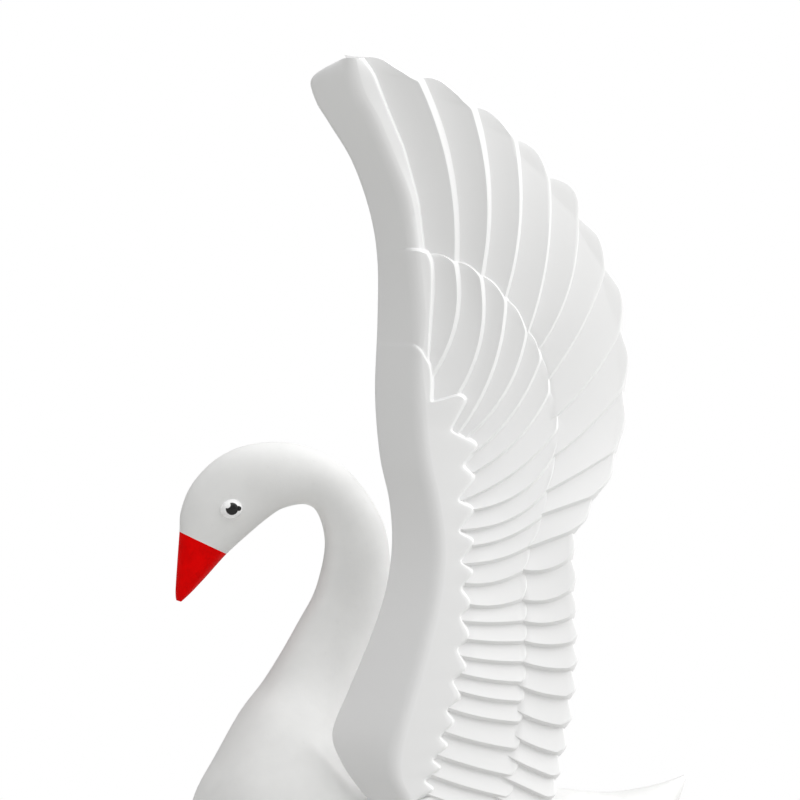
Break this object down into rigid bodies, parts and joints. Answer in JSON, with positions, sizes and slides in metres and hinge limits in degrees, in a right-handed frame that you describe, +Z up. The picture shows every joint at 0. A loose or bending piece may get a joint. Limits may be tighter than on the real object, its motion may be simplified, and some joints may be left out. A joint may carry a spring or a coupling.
{
  "type": "swan statue",
  "caption": "White moulded swan statue with raised wings, a red painted beak, glued domed eyes and a low oval base.",
  "frame": {"origin": "on the floor, at the middle of the base's underside", "axes": "+Z up, the swan faces -Y, its left wing is on +X"},
  "size_m": [0.5314, 0.64, 1.2],
  "materials": {
    "white_gelcoat": "matt white gelcoat on a glass-fibre laminate; the beak is brushed with red enamel",
    "eye_plastic": "glossy white moulded dome with a painted black pupil"
  },
  "bodies": {
    "root": {"base": "white_gelcoat", "swan_body": "white_gelcoat", "wing_left": "white_gelcoat", "wing_right": "white_gelcoat", "eye_left": "eye_plastic", "eye_right": "eye_plastic"}
  },
  "joints": []
}
